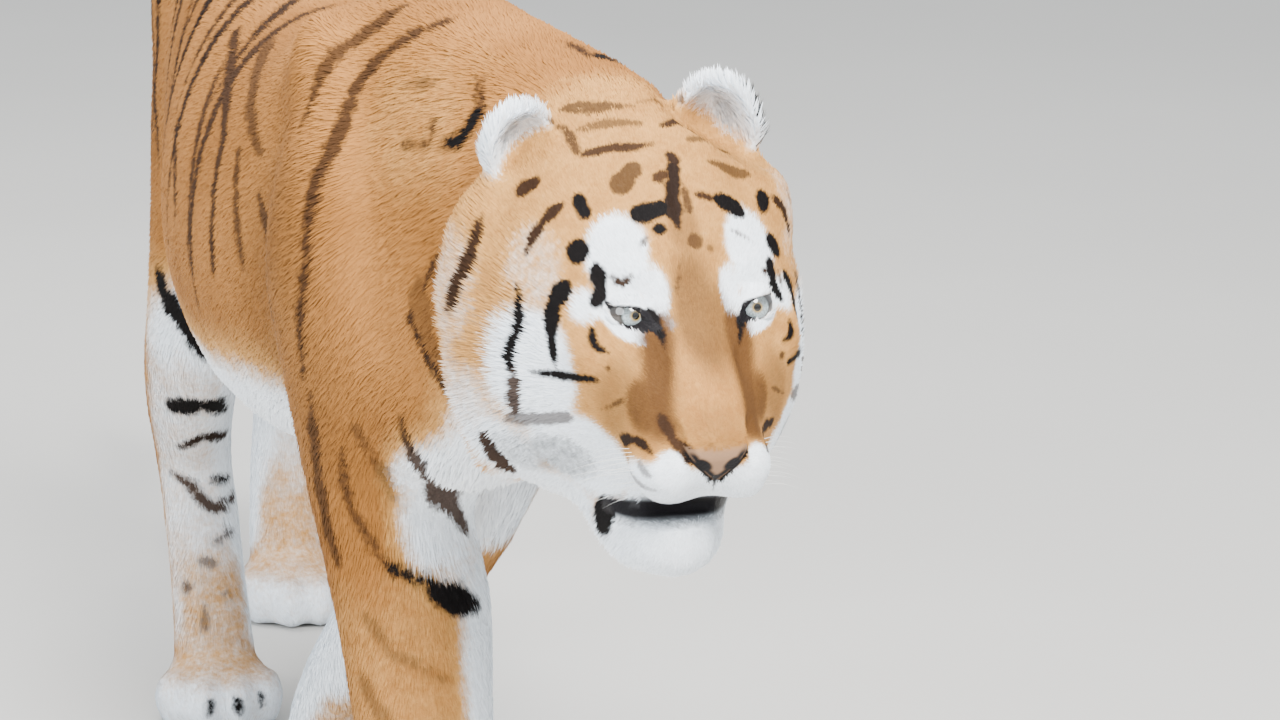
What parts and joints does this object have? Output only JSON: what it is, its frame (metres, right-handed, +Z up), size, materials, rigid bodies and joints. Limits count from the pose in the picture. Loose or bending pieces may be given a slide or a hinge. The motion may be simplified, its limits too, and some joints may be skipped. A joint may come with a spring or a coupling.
{
  "type": "tiger",
  "caption": "Life-size Amur tiger standing in a slow walk, head low and turned a little to its left, mouth slightly open, as a still display model.",
  "frame": {"origin": "middle of the footprint box, on the ground under the soles", "axes": "+Z up; the tiger faces -Y; its left side is +X; +Y runs back along the body to the tail"},
  "size_m": [0.4668, 2.52, 0.9649],
  "materials": {
    "coat": "short dense fur, tan orange with dark stripes",
    "pale_coat": "short dense fur, cream to white",
    "eye": "polished, as a glass display eye"
  },
  "bodies": {
    "root": {"trunk": "coat", "neck": "coat", "head": "coat", "jaw": "pale_coat", "ear_left": "pale_coat", "ear_right": "pale_coat", "eye_left": "eye", "eye_right": "eye", "tail_root": "coat", "tail_middle": "coat", "tail_tip": "coat", "foreleg_left_upper": "coat", "foreleg_left_lower": "coat", "forepaw_left": "pale_coat", "foreleg_right_upper": "coat", "foreleg_right_lower": "coat", "forepaw_right": "pale_coat", "hindleg_left_upper": "coat", "hindleg_left_lower": "coat", "hindpaw_left": "pale_coat", "hindleg_right_upper": "coat", "hindleg_right_lower": "coat", "hindpaw_right": "pale_coat"}
  },
  "joints": []
}
